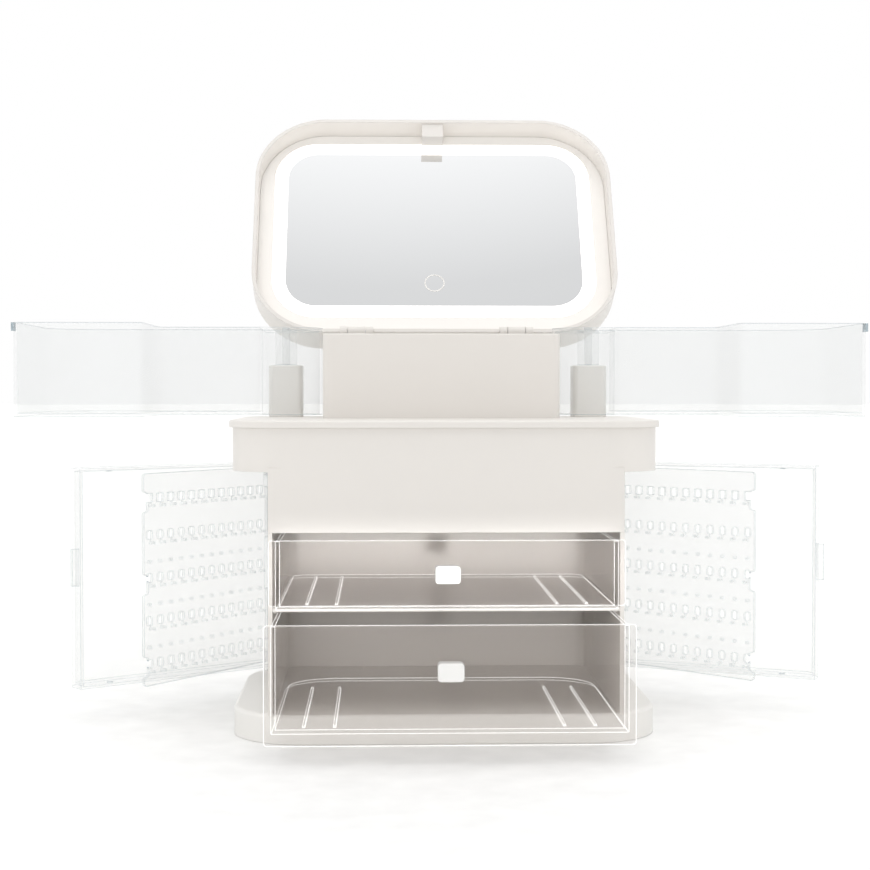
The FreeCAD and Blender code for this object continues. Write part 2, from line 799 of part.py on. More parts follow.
def make_tray_catch(name, side):
    """Dark catch at the top of the tray's front face, beside the middle of the case."""
    body = new_body(f"{name}_tray_catch")
    front = -1 * s.tray_front - s.pivot_back
    start = side * (s.tray_middle_gap - pivot_side + s.tray_end_corner)
    stop = start + side * s.catch_wide
    face = front - s.catch_proud
    loop = [(start, face, 0), (stop, face, 0), (stop, front, 0), (start, front, 0)]
    add(body, "XY", [loop], s.tray_top - s.catch_high, s.tray_top)
    return place(body, side * pivot_side, s.pivot_back, 0, degrees=side * s.tray_open_angle)


# Side doors and hook plates, drawn along +X from their rod

def swing_on_rod(body, side, angle):
    return place(body, side * rod_side, rod_back, 0, degrees=side * angle - QUARTER_TURN)


def make_rods():
    start = s.bottom_thick + s.base_wall
    rods = [cylinder("door_rod", s.rod_radius, start, deck_floor_top, side * rod_side, rod_back)
            for side in SIDES.values()]
    return group("door_rods", rods)


def make_door(name, side, angle):
    """Clear shallow shell that is open toward the cabinet."""
    body = new_body(f"{name}_door")
    wall = s.door_wall
    outside = [(-1 * s.door_tail, -side * s.door_in, s.door_tail_corner),
               (s.door_long, -side * s.door_in, 0),
               (s.door_long, side * s.door_out, s.door_front_corner),
               (-1 * s.door_tail, side * s.door_out, 0)]
    mouth = -side * (s.door_in + s.overrun)
    inside = [(wall - s.door_tail, mouth, 0), (s.door_long - wall, mouth, 0),
              (s.door_long - wall, side * (s.door_out - wall), s.door_front_corner - wall),
              (wall - s.door_tail, side * (s.door_out - wall), 0)]
    floor = s.door_bottom + wall
    ceiling = s.door_top - wall
    add(body, "XY", [outside], s.door_bottom, s.door_top)
    remove(body, "XY", [inside], floor, ceiling)
    ring = circle(0, 0, s.door_boss_radius)
    add(body, "XY", [ring], s.base_top + s.running_gap, floor + s.door_boss_high)
    add(body, "XY", [ring], ceiling - s.door_boss_high, s.door_top)
    remove(body, "XY", [circle(0, 0, rod_hole)], s.base_top - s.overrun, s.deck_bottom + s.overrun)
    tab_edge = -side * (s.door_in - s.tab_inset)
    tab_start = s.door_long - wall / 2
    tab_stop = s.door_long + s.tab_long
    tab = [(tab_start, tab_edge, 0), (tab_stop, tab_edge, 0),
           (tab_stop, tab_edge + side * s.tab_thick, 0), (tab_start, tab_edge + side * s.tab_thick, 0)]
    add(body, "XY", [tab], s.tab_bottom, s.tab_top)
    nub = circle(s.door_long - s.nub_inset, -side * (s.door_in - 2 * s.nub_radius), s.nub_radius)
    add(body, "XY", [nub], ceiling - s.nub_proud, s.door_top)
    add(body, "XY", [nub], s.door_bottom, floor + s.nub_proud)
    return swing_on_rod(body, side, angle)


def hook_leaf_outline():
    """Leaf with three notches in its free edge, in the plane of x and z."""
    bottom = s.door_bottom + s.door_wall + s.leaf_edge_gap
    top = s.door_top - s.door_wall - s.leaf_edge_gap
    deep = s.leaf_long - s.leaf_notch_deep
    corner = s.leaf_notch_corner
    loop = [(s.leaf_start, bottom, 0), (s.leaf_long, bottom, s.leaf_corner)]
    for step in range(3):
        middle = s.leaf_notch_first + step * s.leaf_notch_pitch
        low = middle - s.leaf_notch_wide / 2
        high = middle + s.leaf_notch_wide / 2
        loop += [(s.leaf_long, low, corner), (deep, low, corner)]
        loop += [(deep, high, corner), (s.leaf_long, high, corner)]
    loop += [(s.leaf_long, top, s.leaf_corner), (s.leaf_start, top, 0)]
    return loop


def make_hook_plate(name, side, angle):
    """Clear leaf on the door's rod, with columns of slots, ovals, dots and pegs."""
    body = new_body(f"{name}_hook_plate")
    half = s.leaf_thick / 2
    first = s.column_first
    add(body, "XZ", [hook_leaf_outline()], -1 * half, half)
    for step in range(2):
        start = s.knuckle_first + step * s.knuckle_pitch
        stop = start + s.knuckle_long
        web = rectangle(0, s.leaf_start + s.leaf_thick, -1 * half, half)
        add(body, "XY", [web], start, stop)
        add(body, "XY", [circle(0, 0, s.knuckle_radius)], start, stop)
    remove(body, "XY", [circle(0, 0, rod_hole)], s.door_bottom, s.door_top)
    slot_half = s.slot_wide / 2
    slot = rectangle(first - slot_half, first + slot_half, s.slot_row, s.slot_row + s.slot_high)
    oval_half = s.oval_wide / 2
    oval_rows = [s.oval_row_first + step * s.oval_row_pitch for step in range(int(s.oval_row_count.value))]
    dot_rows = [s.dot_row_first + step * s.dot_row_pitch for step in range(int(s.dot_row_count.value))]
    ovals = [rectangle(first - oval_half, first + oval_half, z, z + s.oval_high, s.oval_corner)
             for z in oval_rows]
    dots = [circle(first, z, s.dot_radius) for z in dot_rows]
    openings = remove(body, "XZ", [slot] + ovals + dots, -1 * s.overrun, s.overrun)
    repeat(body, openings, s.column_pitch, s.column_count)
    reach = side * (half + s.peg_long)
    pegs = [circle(first, z - 2 * s.peg_radius, s.peg_radius) for z in oval_rows + [s.slot_row]]
    ends = (-1 * reach, 0) if side > 0 else (0, -1 * reach)
    peg_row = add(body, "XZ", pegs, *ends)
    repeat(body, peg_row, s.column_pitch, s.column_count)
    return swing_on_rod(body, side, angle * s.plate_turn_share)


# Lid, drawn closed about its hinge axis and then swung open

def open_lid(body):
    return place(body, 0, s.lid_axis_back, s.lid_axis_high, (1, 0, 0), -1 * s.lid_open_angle)


def lid_loop(inset):
    wide = lid_wide - 2 * inset
    return centred(wide, lid_front + inset, lid_back - inset, s.lid_corner - inset)


def mirror_loop(grow):
    return centred(mirror_wide + 2 * grow, mirror_near - grow, mirror_far + grow, s.mirror_corner + grow)


def lid_boss_places():
    x = lid_wide / 2 - s.lid_boss_side_inset
    return [(side * x, y) for side in SIDES.values()
            for y in (lid_front + s.lid_boss_end_inset, lid_back - s.lid_boss_end_inset)]


def make_lid_shell():
    body = new_body("lid_shell")
    add(body, "XY", [lid_loop(0)], lid_rim, lid_top)
    round_edges(body, s.lid_round, level(lid_top))
    remove(body, "XY", [lid_loop(s.lid_wall)], lid_rim - s.overrun, lid_ceiling)
    for x, y in lid_boss_places():
        add(body, "XY", [circle(x, y, s.lid_boss_radius)], frame_back, lid_ceiling + s.lid_wall / 2)
    ear = [(py, -1 * pz, radius) for py, pz, radius in hinge_lug_profile(s.ear_rise)]
    ear_start = s.lug_wide / 2 + s.running_gap
    for side in SIDES.values():
        for hand in SIDES.values():
            middle = side * lug_side + hand * (ear_start + s.ear_wide / 2)
            add(body, "YZ", [ear], middle - s.ear_wide / 2, middle + s.ear_wide / 2)
    for side in SIDES.values():
        middle = side * lug_side
        notch = rectangle(lid_inner_back - s.overrun, lid_back + s.overrun, lid_rim - s.overrun,
                          lid_rim + s.lug_notch_rise)
        remove(body, "YZ", [notch], middle - ear_start, middle + ear_start)
    bore = circle(0, 0, s.lid_pin_radius + s.pin_gap)
    remove(body, "YZ", [bore], -lid_wide / 2, lid_wide / 2)
    button = latch_opening(s.seat_gap)
    remove(body, "XZ", [button], lid_front - s.overrun, lid_inner_front + s.overrun)
    socket_half = s.socket_wide / 2 + s.seat_gap
    socket = rectangle(s.socket_side - socket_half, s.socket_side + socket_half, frame_back - s.seat_gap,
                       frame_back + s.socket_thick + s.seat_gap)
    remove(body, "XZ", [socket], lid_inner_back - s.overrun, lid_back + s.overrun)
    return open_lid(body)


def make_lid_pins():
    half = s.lug_wide / 2 + s.running_gap + s.ear_wide
    pins = []
    for side in SIDES.values():
        pin = doc.addObject("Part::Cylinder", "lid_pin")
        bind(pin, "Radius", s.lid_pin_radius)
        bind(pin, "Height", 2 * half)
        start = side * lug_side - half
        place(pin, start, s.lid_axis_back, s.lid_axis_high, (0, 1, 0), QUARTER_TURN)
        pins.append(pin)
    return group("lid_hinge_pins", pins)


def make_lid_frame():
    """Frame with a seat for the mirror and diffuser and a channel for the lights."""
    body = new_body("lid_frame")
    seat = frame_face + s.mirror_thick
    add(body, "XY", [lid_loop(s.lid_wall + s.seat_gap)], frame_face, frame_back)
    remove(body, "XY", [mirror_loop(s.diffuser_band + s.seat_gap)], frame_face - s.overrun, seat)
    channel = [mirror_loop(s.diffuser_band - s.channel_ledge), mirror_loop(s.channel_ledge)]
    remove(body, "XY", channel, seat - s.overrun, seat + s.channel_deep)
    sensor = circle(0, mirror_far - s.sensor_start, s.sensor_radius + s.seat_gap)
    remove(body, "XY", [sensor], seat - s.overrun, seat + s.sensor_thick)
    return open_lid(body)


def make_mirror():
    body = new_body("mirror")
    add(body, "XY", [mirror_loop(0)], frame_face, frame_face + s.mirror_thick)
    return open_lid(body)


def make_diffuser():
    body = new_body("light_diffuser")
    ring = [mirror_loop(s.diffuser_band), mirror_loop(s.seat_gap)]
    add(body, "XY", ring, frame_face, frame_face + s.mirror_thick)
    return open_lid(body)


def make_strip():
    body = new_body("light_strip")
    ring = [mirror_loop(s.diffuser_band - s.channel_ledge - s.seat_gap),
            mirror_loop(s.channel_ledge + s.seat_gap)]
    floor = frame_face + s.mirror_thick + s.channel_deep
    add(body, "XY", ring, floor - s.strip_thick, floor)
    return open_lid(body)


def make_sensor():
    body = new_body("touch_sensor")
    start = frame_face + s.mirror_thick
    add(body, "XY", [circle(0, mirror_far - s.sensor_start, s.sensor_radius)], start, start + s.sensor_thick)
    return open_lid(body)


def make_lid_electrics():
    """Battery, board and charging socket behind the frame."""
    middle = (lid_front + lid_back) / 2
    battery = new_body("battery")
    half = s.battery_wide / 2
    near = middle - s.battery_long / 2
    loop = rectangle(-1 * s.battery_shift - half, half - s.battery_shift, near, near + s.battery_long)
    add(battery, "XY", [loop], frame_back, frame_back + s.battery_thick)
    board = new_body("control_board")
    half = s.board_wide / 2
    near = middle - s.board_long / 2
    loop = rectangle(s.board_shift - half, s.board_shift + half, near, near + s.board_long)
    add(board, "XY", [loop], frame_back, frame_back + s.board_thick)
    socket = new_body("charging_socket")
    half = s.socket_wide / 2
    loop = rectangle(s.socket_side - half, s.socket_side + half, lid_back - s.socket_long, lid_back)
    add(socket, "XY", [loop], frame_back, frame_back + s.socket_thick)
    return [open_lid(piece) for piece in (battery, board, socket)]


def latch_opening(gap):
    """Outline of the latch button in the plane of x and z, grown by a gap."""
    half = s.latch_wide / 2 - s.latch_wall + gap
    low = lid_rim + s.latch_rise + s.latch_wall - gap
    high = lid_rim + s.latch_rise + s.latch_high - s.latch_wall + gap
    return rectangle(-1 * half, half, low, high)


def make_latch():
    """Latch block inside the front wall, its push button and the spring behind the button."""
    housing = new_body("latch_housing")
    near = lid_inner_front
    far = near + s.latch_deep
    half = s.latch_wide / 2
    low = lid_rim + s.latch_rise
    cavity_end = far - s.latch_wall
    add(housing, "XZ", [rectangle(-1 * half, half, low, low + s.latch_high)], near, far)
    remove(housing, "XZ", [latch_opening(s.seat_gap)], near - s.overrun, cavity_end)
    button = new_body("latch_button")
    face = lid_front - s.button_proud
    back = face + s.button_long
    add(button, "XZ", [latch_opening(-1 * s.seat_gap)], face, back)
    middle = low + s.latch_high / 2
    bore = circle(0, middle, s.spring_radius + s.running_gap)
    remove(button, "XZ", [bore], back - s.spring_bore_deep, back + s.overrun)
    spring = new_body("latch_spring")
    coil = [circle(0, middle, s.spring_radius), circle(0, middle, s.spring_radius - s.spring_wall)]
    add(spring, "XZ", coil, cavity_end - s.spring_long, cavity_end)
    return [open_lid(piece) for piece in (housing, button, spring)]


def make_all():
    pieces = [make_feet(), make_bottom_plate(), make_base(), make_cabinet(), make_shelf(), make_deck(),
              make_deck_floor(), make_central_box(), make_pivot_pins(), make_rods(), make_lid_pins()]
    pieces += make_screws()
    upper_bottom = s.shelf_top + s.running_gap
    lower_bottom = s.base_top + s.running_gap
    upper_middle = (s.upper_plate_bottom + s.upper_plate_top) / 2
    lower_middle = (s.lower_plate_bottom + s.lower_plate_top) / 2 + s.lower_pull_rise
    pieces.append(make_drawer("upper_drawer", upper_bottom, s.upper_plate_bottom, s.upper_plate_top,
                              s.upper_back_corner, s.upper_out))
    pieces.append(make_drawer("lower_drawer", lower_bottom, s.lower_plate_bottom, s.lower_plate_top,
                              s.lower_back_corner, s.lower_out))
    pieces.append(make_pull("upper_drawer_pull", upper_middle, s.upper_out))
    pieces.append(make_pull("lower_drawer_pull", lower_middle, s.lower_out))
    door_angles = {"left": s.left_door_open_angle, "right": s.right_door_open_angle}
    for name, side in SIDES.items():
        pieces.append(make_post(name, side))
        pieces.append(make_tray(name, side))
        pieces.append(make_tray_catch(name, side))
        pieces.append(make_door(name, side, door_angles[name]))
        pieces.append(make_hook_plate(name, side, door_angles[name]))
    pieces += [make_lid_shell(), make_lid_frame(), make_mirror()]
    pieces += [make_diffuser(), make_strip(), make_sensor()]
    pieces += make_lid_electrics()
    pieces += make_latch()
    return pieces


def check(pieces):
    """Stop if an object failed to rebuild or a piece has no sound solid."""
    failed = [thing.Label for thing in doc.Objects if {"Invalid", "Error"} & set(thing.State)]
    unsound = [piece.Label for piece in pieces if piece.Shape.isNull() or not piece.Shape.isValid()]
    if failed or unsound:
        raise RuntimeError(f"failed {failed}, unsound {unsound}")


pieces = make_all()
doc.recompute()
check(pieces)
os.makedirs("parts", exist_ok=True)
for piece in pieces:
    piece.Shape.exportStep(f"parts/{piece.Label}.step")
    print(piece.Label, len(piece.Shape.Solids), round(piece.Shape.Volume))
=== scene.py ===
import json
import math

import bmesh
import bpy
from bpy.props import FloatProperty, FloatVectorProperty, PointerProperty
from bpy.types import Operator, Panel, PropertyGroup
from mathutils import Matrix


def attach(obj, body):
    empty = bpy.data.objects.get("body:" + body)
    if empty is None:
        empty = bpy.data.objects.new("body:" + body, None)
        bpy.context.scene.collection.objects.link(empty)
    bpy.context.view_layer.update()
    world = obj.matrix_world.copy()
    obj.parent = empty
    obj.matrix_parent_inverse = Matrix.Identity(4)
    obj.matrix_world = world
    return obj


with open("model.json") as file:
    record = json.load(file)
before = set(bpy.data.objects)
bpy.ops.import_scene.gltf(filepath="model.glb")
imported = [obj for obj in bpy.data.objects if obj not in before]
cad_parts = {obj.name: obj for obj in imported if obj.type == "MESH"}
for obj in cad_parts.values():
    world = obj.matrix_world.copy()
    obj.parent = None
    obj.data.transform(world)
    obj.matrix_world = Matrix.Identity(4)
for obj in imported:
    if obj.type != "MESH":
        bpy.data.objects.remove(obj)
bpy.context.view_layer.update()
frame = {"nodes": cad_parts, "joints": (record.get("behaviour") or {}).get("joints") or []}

bl_info = {
    "name": "Cosmetic case",
    "version": (1, 0, 0),
    "blender": (4, 5, 0),
    "location": "3D View > Sidebar > Cosmetic case",
    "description": "Finishes, light and camera for a cosmetic case with a lit mirror lid",
    "category": "Object",
}

NODES = frame["nodes"]
MILLIMETRE = 0.001
IMAGE_SIDE = 870
FILM_WIDTH = 36
ABS_IOR = 1.53
ACRYLIC_IOR = 1.49
# How much a polished edge hides of what is behind it, where it hides most.
EDGE_COVER = 0.8
# A look through a tray or drawer crosses many clear walls.
CLEAR_WALLS = 40
RING_SEGMENTS = 64
FLOOR_SEGMENTS = 96
# Upward share of the direction, and the brightness there. The ceiling is a little darker round its
# middle, which gives the mirror its soft gradient.
CEILING = ((0.0, 1.0), (0.6, 1.0), (0.86, 0.70), (0.895, 0.76), (0.93, 1.05), (1.0, 1.08))


def linear(code):
    """Linear red, green and blue of an sRGB hex colour."""
    shares = [int(code[place:place + 2], 16) / 255 for place in (0, 2, 4)]
    return [part / 12.92 if part <= 0.04045 else ((part + 0.055) / 1.055) ** 2.4 for part in shares]


def opaque(colour):
    """A colour with full alpha, as shader sockets take it."""
    return [*colour, 1.0]


def dimmed(colour, share):
    """The colour at a share of its brightness, with full alpha."""
    return opaque([part * share for part in colour])


def per_metre(size):
    """Texture scale whose features are about one size apart."""
    return 1 / size


def colour_property(name, description, code):
    """Colour property with an sRGB hex default."""
    return FloatVectorProperty(name=name, description=description, subtype="COLOR",
                               size=3, min=0, max=1, default=linear(code))


def length_property(name, description, millimetres):
    """Length property with its default in millimetres."""
    return FloatProperty(name=name, description=description, unit="LENGTH", precision=5,
                         default=millimetres * MILLIMETRE)


def angle_property(name, description, degrees):
    """Angle property with its default in degrees."""
    return FloatProperty(name=name, description=description, subtype="ANGLE",
                         default=math.radians(degrees))


def strength_property(name, description, default):
    """Strength or power property."""
    return FloatProperty(name=name, description=description, min=0, default=default)


class CaseFinish(PropertyGroup):
    """Colours of the plastics, metals and mirror, and the mirror's light."""

    cream: colour_property("Cream", "Satin plastic of the deck, lid and box", "E2DED9")
    # The base's own paler plastic. The tray posts are cream plastic given this paler colour as painted
    # light, lifting them where they sit dim behind the clear trays.
    pale_and_post_light: colour_property("Pale", "Satin plastic of the base and tray posts", "E8E6E2")
    clear: colour_property("Clear", "Tint of the clear trays and doors", "E0E3E3")
    edge: colour_property("Clear edge", "Colour of clear plastic seen edge-on", "A4B2B9")
    # Painted highlight: the near-white colour and glow put on the drawers' edges.
    drawer_edge_highlight: colour_property("Drawer edge", "Colour of the drawers' polished edges", "FBFBFA")
    # Drawer haze: partly the clear plastic's faint tint, partly painted shade, darkened to a warm grey
    # for the dim cavity behind the drawers.
    drawer_tint_and_painted_shade: colour_property("Drawer clear", "Tint of the clear drawers", "C4BAB3")
    pull: colour_property("Pulls", "Gloss plastic of the drawer pulls", "DEDDDB")
    frame_white: colour_property("Light frame", "Satin plastic round the mirror", "F6F3EF")
    lamp: colour_property("Lamp", "Colour of the mirror's light", "FFFCF9")
    lamp_strength: strength_property("Lamp strength", "Brightness of the lit diffuser", 1.1)
    silver: colour_property("Silvering", "Reflected colour of the mirror", "F6F7F8")
    catch: colour_property("Catches", "Blue-grey plastic of the tray catches", "AEBBC2")
    zinc: colour_property("Zinc", "Plated steel of screws, rods, pins and socket", "C4C6C8")
    rubber: colour_property("Rubber", "Moulded rubber of the feet", "8C8A87")
    sensor: colour_property("Sensor", "Pad of the touch sensor", "C9CCCE")
    foil: colour_property("Foil", "Wrap of the battery", "C2C3C6")
    mask: colour_property("Solder mask", "Coat of the control board", "1F6B3B")


class CaseGrain(PropertyGroup):
    """Sizes of the surface detail and of the printed ring."""

    spark: length_property("Mould texture", "Spacing of the fine texture on satin plastic", 0.9)
    sink: length_property("Mould waviness", "Spacing of slow waves on polished plastic", 26)
    cloud: length_property("Colour cloud", "Spacing of slow changes of shade", 60)
    edge: length_property("Edge softness", "Radius that light sees on a moulded edge", 0.5)
    # On the drawers this bright line is a painted highlight that glows.
    gleam: length_property("Edge gleam", "Width of the bright line on a polished edge", 1.1)
    brushing: length_property("Tool marks", "Spacing of marks on plated steel", 0.3)
    ring_radius: length_property("Touch ring", "Outer radius of the ring over the touch sensor", 8.4)
    ring_width: length_property("Touch ring width", "Width of the ring's line", 1.0)
    ring_thick: length_property("Touch ring thickness", "Thickness of the printed ring", 0.12)


class StageSetting(PropertyGroup):
    """Floor, light and camera."""

    camera_place: FloatVectorProperty(
        name="Camera", description="Where the camera stands", subtype="XYZ", unit="LENGTH",
        size=3, default=(-0.0445, -1.27, 0.24))
    camera_pitch: angle_property("Camera pitch", "How far the camera looks down", 1.466)
    camera_yaw: angle_property("Camera yaw", "How far the camera turns to the right", 1.8)
    focal_pixels: FloatProperty(
        name="Focal length", description="Focal length in pixels of the square image", default=1720)
    floor_reach: length_property("Floor", "Radius of the floor", 30000)
    floor_drop: length_property("Floor drop", "How far the floor lies below the case", 0.2)
    floor_colour: colour_property("Floor colour", "Pale board", "FDFDFC")
    backdrop_strength: strength_property("Backdrop", "Brightness of the surround as it is seen", 1.0)
    ambient_strength: strength_property("Ambient", "Light that the white surround gives", 0.5)
    overhead_strength: strength_property("Overhead light", "Soft light from above", 1.65)
    front_strength: strength_property("Front light", "Soft light from beside the camera", 0.58)
    side_strength: strength_property("Side lights", "Soft light from the left and the right", 0.36)
    rear_strength: strength_property("Rear light", "Soft fill from behind", 0.8)
    upper_power: strength_property("Upper drawer light", "Light into the upper drawer", 0.034)
    lower_power: strength_property("Lower drawer light", "Light into the lower drawer", 0.012)
    beam_wide: length_property("Beam width", "Width of the lights into the drawers", 236)
    beam_reach: length_property("Beam distance", "How far in front those lights stand", 600)
    beam_spread: angle_property("Beam spread", "How far those lights spread", 5)


def add_node(tree, kind, inputs=None, links=None, **settings):
    """Add a node with its settings, its fixed inputs and its links from other sockets."""
    node = tree.nodes.new(kind)
    for name, value in settings.items():
        setattr(node, name, value)
    for name, value in (inputs or {}).items():
        node.inputs[name].default_value = value
    for name, socket in (links or {}).items():
        tree.links.new(socket, node.inputs[name])
    return node


def start_material(name):
    """Empty material with its tree and the coordinates of the piece."""
    material = bpy.data.materials.new(name)
    material.use_nodes = True
    tree = material.node_tree
    tree.nodes.clear()
    place = add_node(tree, "ShaderNodeTexCoord").outputs["Object"]
    return material, tree, place


def end_material(material, tree, shader):
    """Send the shader to the material's surface."""
    add_node(tree, "ShaderNodeOutputMaterial", links={"Surface": shader.outputs["BSDF"]})
    return material


def satin_abs(name, colour, grain, roughness):
    """Injection-moulded ABS from a spark-eroded mould: an even satin with a very fine grain."""
    material, tree, place = start_material(name)
    cloud = add_node(tree, "ShaderNodeTexNoise", {"Scale": per_metre(grain.cloud), "Detail": 2.0},
                     {"Vector": place})
    shade = add_node(tree, "ShaderNodeMix",
                     {"A": dimmed(colour, share=0.975), "B": opaque(colour)},
                     {"Factor": cloud.outputs["Fac"]}, data_type="RGBA")
    # The real grain is near a tenth of a millimetre; it is drawn coarser so that it shows.
    spark = add_node(tree, "ShaderNodeTexNoise", {"Scale": per_metre(grain.spark), "Detail": 3.0},
                     {"Vector": place})
    gloss = add_node(tree, "ShaderNodeMapRange",
                     {"To Min": roughness - 0.05, "To Max": roughness + 0.06},
                     {"Value": spark.outputs["Fac"]})
    soft_edge = add_node(tree, "ShaderNodeBevel", {"Radius": grain.edge}, samples=4)
    relief = add_node(tree, "ShaderNodeBump", {"Strength": 0.08, "Distance": 0.05 * MILLIMETRE},
                      {"Height": spark.outputs["Fac"], "Normal": soft_edge.outputs["Normal"]})
    shader = add_node(tree, "ShaderNodeBsdfPrincipled", {"IOR": ABS_IOR},
                      {"Base Color": shade.outputs["Result"], "Roughness": gloss.outputs["Result"],
                       "Normal": relief.outputs["Normal"]})
    return end_material(material, tree, shader)


def polished_acrylic(name, colour, edge_colour, grain, haze_share, slant_share, edge_share,
                     painted_edge_glow=0.0):
    """Clear acrylic from a polished mould: faint on its faces, and on its edges a grey line or a
    painted bright highlight.

    The shares say how much shows on a face, on a pane seen edge-on and on a polished edge.
    """
    material, tree, place = start_material(name)
    haze = add_node(tree, "ShaderNodeTexNoise", {"Scale": per_metre(grain.cloud), "Detail": 4.0},
                    {"Vector": place})
    gloss = add_node(tree, "ShaderNodeMapRange", {"To Min": 0.02, "To Max": 0.07},
                     {"Value": haze.outputs["Fac"]})
    wave = add_node(tree, "ShaderNodeTexNoise", {"Scale": per_metre(grain.sink), "Detail": 1.0},
                    {"Vector": place})
    relief = add_node(tree, "ShaderNodeBump", {"Strength": 0.1, "Distance": 0.3 * MILLIMETRE},
                      {"Height": wave.outputs["Fac"]})
    slant = add_node(tree, "ShaderNodeLayerWeight", {"Blend": 0.5},
                     {"Normal": relief.outputs["Normal"]})
    # A pane shows more of itself the more edge-on it is seen.
    rise = add_node(tree, "ShaderNodeMath", {1: 5.0}, {0: slant.outputs["Facing"]}, operation="POWER")
    # Where the surface turns within the gleam's width, a line in the edge colour is painted; on the
    # drawers this line is a painted highlight.
    rounded = add_node(tree, "ShaderNodeBevel", {"Radius": grain.gleam}, samples=6)
    surface = add_node(tree, "ShaderNodeNewGeometry")
    turn = add_node(tree, "ShaderNodeVectorMath",
                    links={0: rounded.outputs["Normal"], 1: surface.outputs["Normal"]},
                    operation="DOT_PRODUCT")
    likeness = add_node(tree, "ShaderNodeMath", links={0: turn.outputs["Value"]}, operation="ABSOLUTE")
    gleam = add_node(tree, "ShaderNodeMapRange",
                     {"From Min": 0.998, "From Max": 0.9, "To Max": edge_share},
                     {"Value": likeness.outputs["Value"]})
    slope = add_node(tree, "ShaderNodeMapRange", {"To Max": slant_share},
                     {"Value": rise.outputs["Value"]})
    line = add_node(tree, "ShaderNodeMath",
                    links={0: slope.outputs["Result"], 1: gleam.outputs["Result"]}, operation="MAXIMUM")
    cover = add_node(tree, "ShaderNodeMapRange", {"To Min": haze_share, "To Max": EDGE_COVER},
                     {"Value": line.outputs["Value"]})
    shade = add_node(tree, "ShaderNodeMix", {"A": opaque(colour), "B": opaque(edge_colour)},
                     {"Factor": line.outputs["Value"]}, data_type="RGBA")
    shader = add_node(tree, "ShaderNodeBsdfPrincipled",
                      {"IOR": ACRYLIC_IOR, "Emission Color": opaque(edge_colour)},
                      {"Base Color": shade.outputs["Result"], "Roughness": gloss.outputs["Result"],
                       "Normal": relief.outputs["Normal"], "Alpha": cover.outputs["Result"]})
    # Painted glow: the edges emit light of their own, a painted highlight standing in for light led
    # along the plastic to its edges.
    if painted_edge_glow:
        painted_glow = add_node(tree, "ShaderNodeMapRange", {"To Max": painted_edge_glow},
                         {"Value": gleam.outputs["Result"]})
        tree.links.new(painted_glow.outputs["Result"], shader.inputs["Emission Strength"])
    return end_material(material, tree, shader)


def silvered_glass(name, colour, grain):
    """Back-silvered flat glass: a clean mirror with the faintest waviness and a few dull patches."""
    material, tree, place = start_material(name)
    film = add_node(tree, "ShaderNodeTexNoise", {"Scale": per_metre(grain.cloud), "Detail": 5.0},
                    {"Vector": place})
    gloss = add_node(tree, "ShaderNodeMapRange", {"To Min": 0.01, "To Max": 0.035},
                     {"Value": film.outputs["Fac"]})
    relief = add_node(tree, "ShaderNodeBump", {"Strength": 0.02, "Distance": 0.05 * MILLIMETRE},
                      {"Height": film.outputs["Fac"]})
    shader = add_node(tree, "ShaderNodeBsdfPrincipled",
                      {"Base Color": opaque(colour), "Metallic": 1.0},
                      {"Roughness": gloss.outputs["Result"], "Normal": relief.outputs["Normal"]})
    return end_material(material, tree, shader)


def lit_opal_acrylic(name, colour, strength, grain):
    """Opal acrylic over a row of lamps: it glows evenly, with a slight swell over each lamp."""
    material, tree, place = start_material(name)
    cloud = add_node(tree, "ShaderNodeTexNoise", {"Scale": per_metre(grain.sink), "Detail": 1.0},
                     {"Vector": place})
    glow = add_node(tree, "ShaderNodeMapRange",
                    {"To Min": strength * 0.94, "To Max": strength * 1.06},
                    {"Value": cloud.outputs["Fac"]})
    frost = add_node(tree, "ShaderNodeTexNoise", {"Scale": per_metre(grain.spark), "Detail": 2.0},
                     {"Vector": place})
    relief = add_node(tree, "ShaderNodeBump", {"Strength": 0.1, "Distance": 0.05 * MILLIMETRE},
                      {"Height": frost.outputs["Fac"]})
    shader = add_node(tree, "ShaderNodeBsdfPrincipled",
                      {"Base Color": opaque(colour), "Roughness": 0.5,
                       "Emission Color": opaque(colour), "IOR": ACRYLIC_IOR},
                      {"Emission Strength": glow.outputs["Result"], "Normal": relief.outputs["Normal"]})
    return end_material(material, tree, shader)


def plated_steel(name, colour, grain):
    """Plated steel: bright grey metal, broken up by fine marks of the tool."""
    material, tree, place = start_material(name)
    marks = add_node(tree, "ShaderNodeTexNoise", {"Scale": per_metre(grain.brushing), "Detail": 2.0},
                     {"Vector": place})
    gloss = add_node(tree, "ShaderNodeMapRange", {"To Min": 0.22, "To Max": 0.38},
                     {"Value": marks.outputs["Fac"]})
    relief = add_node(tree, "ShaderNodeBump", {"Strength": 0.1, "Distance": 0.02 * MILLIMETRE},
                      {"Height": marks.outputs["Fac"]})
    shader = add_node(tree, "ShaderNodeBsdfPrincipled",
                      {"Base Color": opaque(colour), "Metallic": 1.0},
                      {"Roughness": gloss.outputs["Result"], "Normal": relief.outputs["Normal"]})
    return end_material(material, tree, shader)


